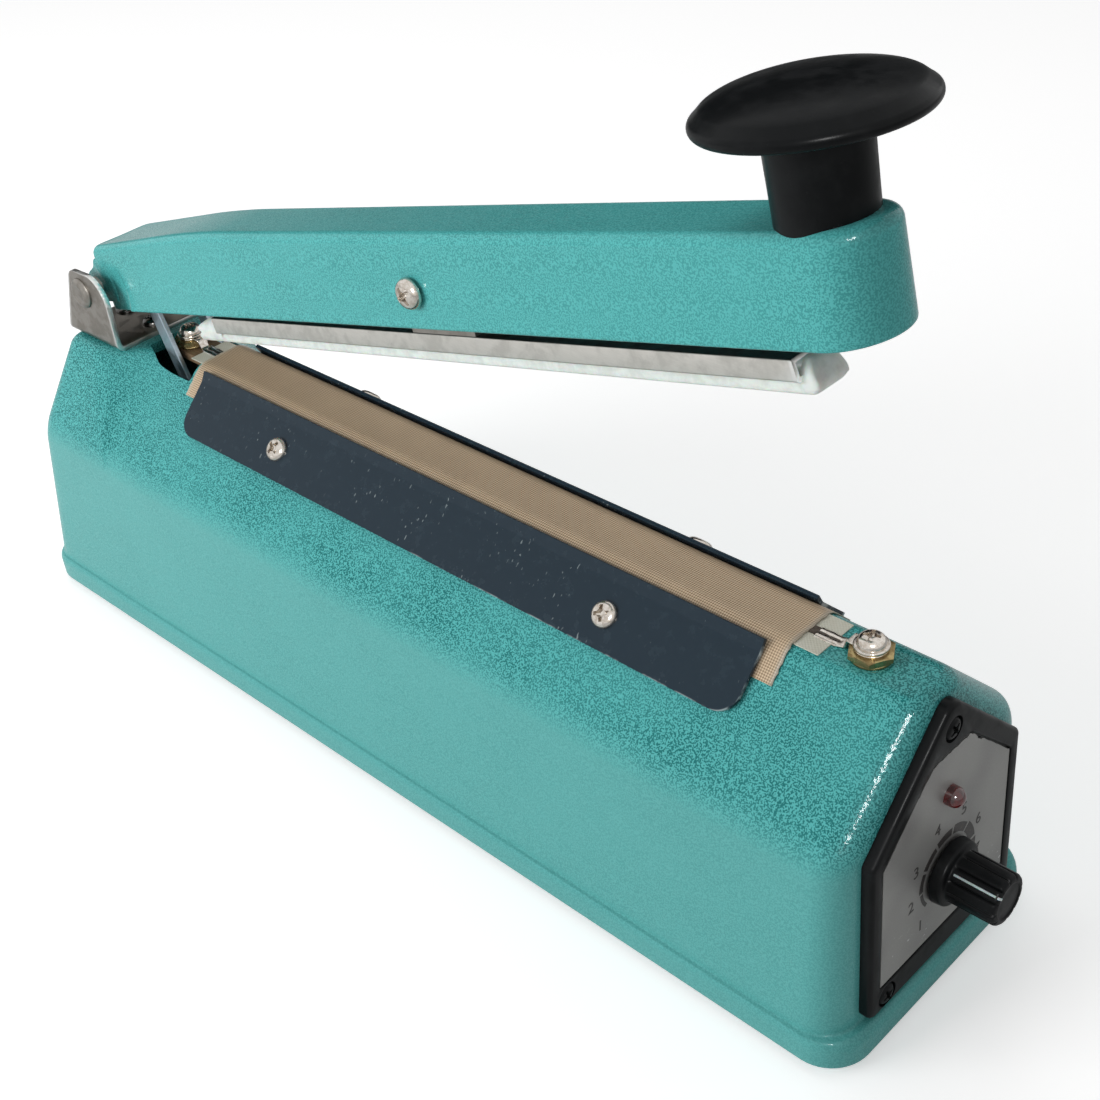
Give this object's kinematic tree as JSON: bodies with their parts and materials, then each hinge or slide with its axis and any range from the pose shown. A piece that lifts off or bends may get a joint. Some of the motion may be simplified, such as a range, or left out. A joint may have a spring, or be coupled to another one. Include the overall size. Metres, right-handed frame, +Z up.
{
  "type": "impulse heat sealer",
  "caption": "Hand impulse heat sealer: cast base with a heated ridge, timer panel, and a hinged pressing arm with a mushroom knob.",
  "frame": {"origin": "on the resting plane, under the middle of the whole outline", "axes": "+X along the base towards the control panel, +Y to the far side, +Z up"},
  "size_m": [0.3414, 0.08, 0.2137],
  "materials": {
    "cast_paint": "hammertone teal enamel, gloss",
    "sheet_steel": "zinc plated",
    "screw_steel": "bright nickel",
    "black_rubber": "matt",
    "black_plastic": "satin black",
    "strip_board": "resin-bonded fibre board",
    "tape_white": "woven glass tape",
    "element_wire": "heat-darkened resistance ribbon",
    "cloth_tan": "coated woven glass cloth",
    "slate_paint": "slate enamel, gloss",
    "brass": "tarnished",
    "label_silver": "printed foil, satin",
    "lamp_red": "dark red, clear",
    "core_iron": "stacked sheets, varnished",
    "coil_copper": "varnished winding under tape",
    "bar_metal": "extruded, satin",
    "silicone": "clear off-white silicone",
    "link_metal": "blue-grey zinc",
    "red_plastic": "moulded"
  },
  "bodies": {
    "base": {"housing": "cast_paint", "base_plate": "sheet_steel", "base_screws": "screw_steel", "feet": "black_rubber", "cable_grommet": "black_rubber", "hinge_bracket": "sheet_steel", "bracket_screws": "screw_steel", "hinge_pin": "sheet_steel", "heater_strip": "strip_board", "glass_tape": "tape_white", "heating_element": "element_wire", "ptfe_cloth": "cloth_tan", "side_plate_near": "slate_paint", "side_plate_far": "slate_paint", "plate_screws": "screw_steel", "terminal_washers": "brass", "terminal_nuts": "brass", "element_lugs": "screw_steel", "terminal_screws": "screw_steel", "panel_bezel": "black_plastic", "panel_label": "label_silver", "panel_screws": "black_plastic", "indicator_lamp": "lamp_red", "timer_board": "strip_board", "potentiometer": "sheet_steel", "potentiometer_nut": "sheet_steel", "transformer_core": "core_iron", "transformer_coil": "coil_copper", "transformer_strap": "sheet_steel", "transformer_screws": "screw_steel", "microswitch": "black_plastic", "switch_bracket": "sheet_steel", "spring_seat": "sheet_steel", "return_spring": "sheet_steel"},
    "arm": {"arm_shell": "cast_paint", "arm_knob": "black_plastic", "knob_screw": "screw_steel", "pivot_bush": "brass", "link_pin": "sheet_steel", "rock_screw": "screw_steel", "rock_nut": "screw_steel"},
    "press_bar": {"bar_channel": "bar_metal", "bar_hanger": "sheet_steel", "silicone_strip": "silicone"},
    "link": {"link_fork": "link_metal"},
    "switch_plunger": {"switch_plunger": "red_plastic"},
    "dial": {"dial_knob": "black_plastic", "dial_shaft": "sheet_steel"}
  },
  "joints": [
    {"name": "arm_hinge", "type": "hinge", "parent": "base", "child": "arm", "pos_m": [-0.1417, 0, 0.104], "axis": [0, 1, 0], "range_deg": [0, 12.6], "stiffness_Nm_per_rad": 1.5, "springref_deg": -25.78, "deforming": ["return_spring"]},
    {"name": "press_bar_rock", "type": "hinge", "parent": "arm", "child": "press_bar", "pos_m": [0.01146, 0, 0.14487], "axis": [0, 1, 0], "range_deg": [0, 1.5]},
    {"name": "link_pivot", "type": "hinge", "parent": "arm", "child": "link", "pos_m": [-0.12222, 0, 0.10855], "axis": [0, 1, 0], "range_deg": [-13, 0]},
    {"name": "plunger_press", "type": "slide", "parent": "base", "child": "switch_plunger", "axis": [0, 0, -1], "range_m": [0, 0.0012], "stiffness_N_per_m": 200, "springref_m": -0.0005},
    {"name": "dial_turn", "type": "hinge", "parent": "base", "child": "dial", "pos_m": [0, 0, 0.0382], "axis": [1, 0, 0], "range_deg": [-145, 145]}
  ],
  "couplings": [
    {"joint": "press_bar_rock", "follows": "arm_hinge", "ratio": 0.1072},
    {"joint": "link_pivot", "follows": "arm_hinge", "ratio": -1}
  ]
}
